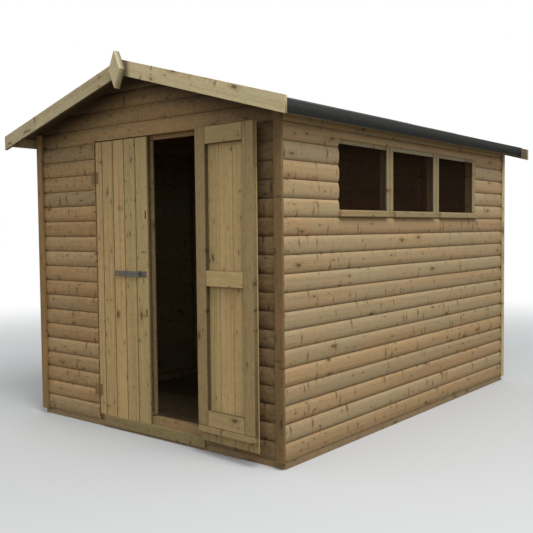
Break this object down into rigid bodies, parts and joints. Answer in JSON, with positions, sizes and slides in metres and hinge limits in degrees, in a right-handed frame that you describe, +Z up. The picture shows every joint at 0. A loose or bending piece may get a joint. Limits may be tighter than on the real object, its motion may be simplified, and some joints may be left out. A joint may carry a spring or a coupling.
{
  "type": "wooden garden shed",
  "caption": "Wooden garden shed with barrel-faced board walls, a felted apex roof, hinged doors with a hasp in the gable end, and fixed windows along a side.",
  "frame": {"origin": "middle of the footprint, at ground level on the underside of the floor bearers", "axes": "+Z up, +Y from the door gable to the back along the ridge, +X to the right of someone facing the doors"},
  "size_m": [2.484, 3.422, 2.3708],
  "materials": {
    "wall_boards": "pressure-treated softwood",
    "framing": "sawn softwood",
    "deck_boards": "planed softwood",
    "trim": "pressure-treated softwood",
    "window_trim": "planed softwood",
    "glazing": "clear",
    "roof_boards": "sawn softwood",
    "roofing_felt": "mineral-faced bitumen felt",
    "door_boards": "planed softwood",
    "door_frame": "pressure-treated softwood",
    "galvanised_steel": "galvanised"
  },
  "bodies": {
    "shed": {"front_wall_left": "wall_boards", "front_wall_right": "wall_boards", "front_gable": "wall_boards", "back_wall": "wall_boards", "left_wall": "wall_boards", "right_wall_below_windows": "wall_boards", "right_wall_beside_windows": "wall_boards", "right_wall_over_windows": "wall_boards", "floor_bearers": "framing", "floor_end_bearers": "framing", "front_studs": "framing", "back_studs": "framing", "side_studs": "framing", "gable_rails": "framing", "side_rails": "framing", "gable_rafters": "framing", "door_stop": "framing", "ridge_beam_and_purlins": "framing", "floor_deck": "deck_boards", "gable_corner_strips": "trim", "side_corner_strips": "trim", "front_barge_boards": "trim", "back_barge_boards": "trim", "front_finial": "trim", "eaves_fascias": "trim", "door_sill": "trim", "window_mullions": "window_trim", "window_head_beads": "window_trim", "window_sills": "window_trim", "window_glass": "glazing", "roof_left": "roof_boards", "roof_right": "roof_boards", "felt_left": "roofing_felt", "felt_right": "roofing_felt", "felt_ridge_cap": "roofing_felt", "hinge_wall_flaps": "galvanised_steel"},
    "left_door": {"left_door_boards": "door_boards", "left_door_frame": "door_frame", "left_door_hinge_flaps": "galvanised_steel", "hasp_plate": "galvanised_steel"},
    "hasp_strap": {"hasp_strap": "galvanised_steel"},
    "right_door": {"right_door_boards": "door_boards", "right_door_frame": "door_frame", "right_door_hinge_flaps": "galvanised_steel", "hasp_staple": "galvanised_steel"}
  },
  "joints": [
    {"name": "left_door_hinges", "type": "hinge", "parent": "shed", "child": "left_door", "pos_m": [-0.4775, -1.523, 0.95], "axis": [0, 0, -1], "range_deg": [0, 176.5]},
    {"name": "hasp_hinge", "type": "hinge", "parent": "left_door", "child": "hasp_strap", "pos_m": [-0.054, -1.5185, 1.028], "axis": [0, 0, 1], "range_deg": [0, 180]},
    {"name": "right_door_hinges", "type": "hinge", "parent": "shed", "child": "right_door", "pos_m": [0.4965, -1.523, 0.95], "axis": [0, 0, -1], "range_deg": [0, 176.5]}
  ]
}
